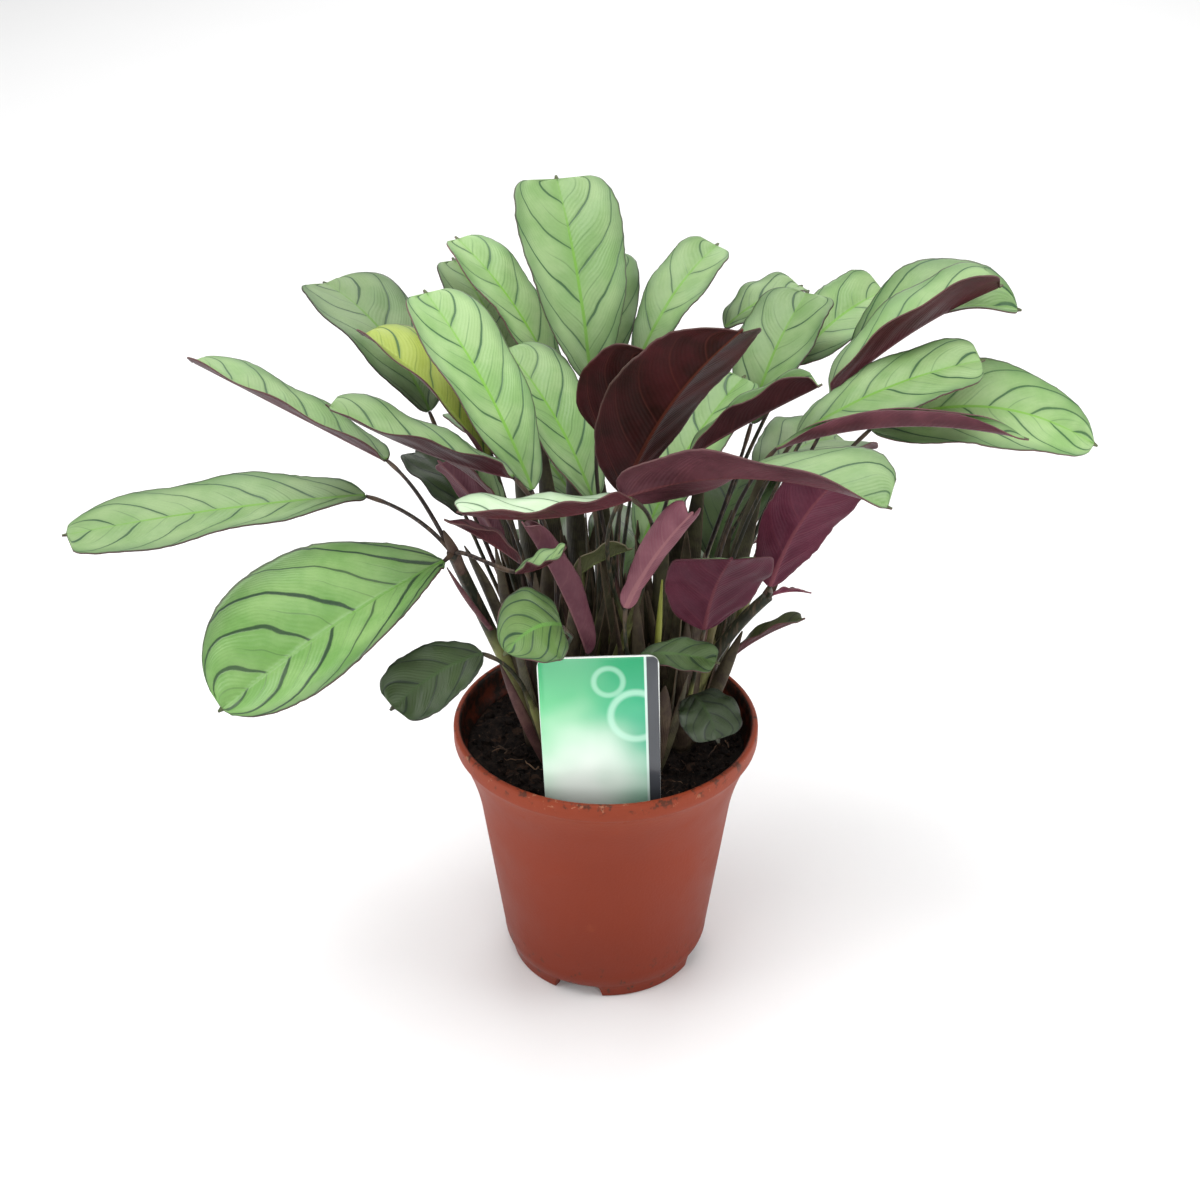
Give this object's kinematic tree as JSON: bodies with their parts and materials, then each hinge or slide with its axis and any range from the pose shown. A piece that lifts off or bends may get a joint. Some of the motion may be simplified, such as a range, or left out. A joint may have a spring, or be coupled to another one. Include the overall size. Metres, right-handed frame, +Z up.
{
  "type": "potted prayer plant",
  "caption": "Bushy prayer plant with fishbone-veined leaves on tall stalks, rooted in soil in a round plastic nursery pot with a care card.",
  "frame": {"origin": "centre of the pot's foot on the surface it stands on, which is also the middle of the whole plant's outline seen from above, within a few millimetres", "axes": "+Z up out of the soil, +Y towards the back of the plant, +X to the right seen from the front, where the care card stands"},
  "size_m": [0.3769, 0.2097, 0.3049],
  "materials": {
    "pot": "moulded terracotta-coloured plastic, matt with faint scuffs",
    "soil": "damp dark fibrous peat",
    "care_card": "printed plastic card, green shading to white",
    "stalk": "smooth dark brown to olive stalks",
    "sheath": "dull maroon leaf sheaths",
    "green_leaf": "satin pale green leaf with dark fishbone veins",
    "dark_leaf": "satin dark green leaf",
    "olive_leaf": "satin yellow-olive young leaf",
    "purple_leaf": "satin maroon underside of a leaf",
    "pink_leaf": "satin pink young leaf, still rolled"
  },
  "bodies": {
    "root": {"pot": "pot", "soil": "soil", "care_card": "care_card", "shoot_left_front": "stalk", "shoot_left_back": "stalk", "shoot_middle": "stalk", "shoot_back": "stalk", "shoot_right_back": "stalk", "shoot_right": "stalk", "shoot_right_front": "stalk", "leaf_left_1": "green_leaf", "leaf_left_2": "green_leaf", "leaf_left_3": "green_leaf", "leaf_left_4": "green_leaf", "young_leaf_left": "purple_leaf", "leaf_front_1": "dark_leaf", "leaf_front_2": "green_leaf", "leaf_left_5": "green_leaf", "leaf_left_6": "purple_leaf", "leaf_left_7": "dark_leaf", "leaf_left_8": "pink_leaf", "leaf_left_9": "olive_leaf", "rolled_leaf_front": "pink_leaf", "leaf_left_10": "green_leaf", "leaf_middle_1": "green_leaf", "leaf_middle_2": "green_leaf", "leaf_middle_3": "green_leaf", "leaf_middle_4": "green_leaf", "leaf_top_1": "green_leaf", "leaf_top_2": "green_leaf", "leaf_top_3": "green_leaf", "leaf_top_4": "purple_leaf", "leaf_top_5": "purple_leaf", "leaf_front_3": "green_leaf", "leaf_right_1": "green_leaf", "leaf_right_2": "green_leaf", "leaf_right_3": "purple_leaf", "leaf_right_4": "green_leaf", "leaf_right_5": "green_leaf", "leaf_right_6": "green_leaf", "leaf_right_7": "green_leaf", "leaf_right_8": "green_leaf", "leaf_right_9": "green_leaf", "leaf_right_10": "green_leaf", "rolled_leaf_right": "purple_leaf", "leaf_right_11": "purple_leaf", "young_leaf_right": "purple_leaf", "rolled_leaf_middle": "pink_leaf", "young_leaf_middle": "olive_leaf", "leaf_front_4": "purple_leaf", "leaf_front_5": "dark_leaf", "leaf_front_6": "dark_leaf", "leaf_front_7": "dark_leaf", "leaf_back_1": "green_leaf", "leaf_back_2": "green_leaf", "leaf_back_3": "green_leaf", "leaf_back_4": "green_leaf", "leaf_back_5": "green_leaf", "leaf_back_6": "green_leaf", "leaf_back_7": "green_leaf"}
  },
  "joints": []
}
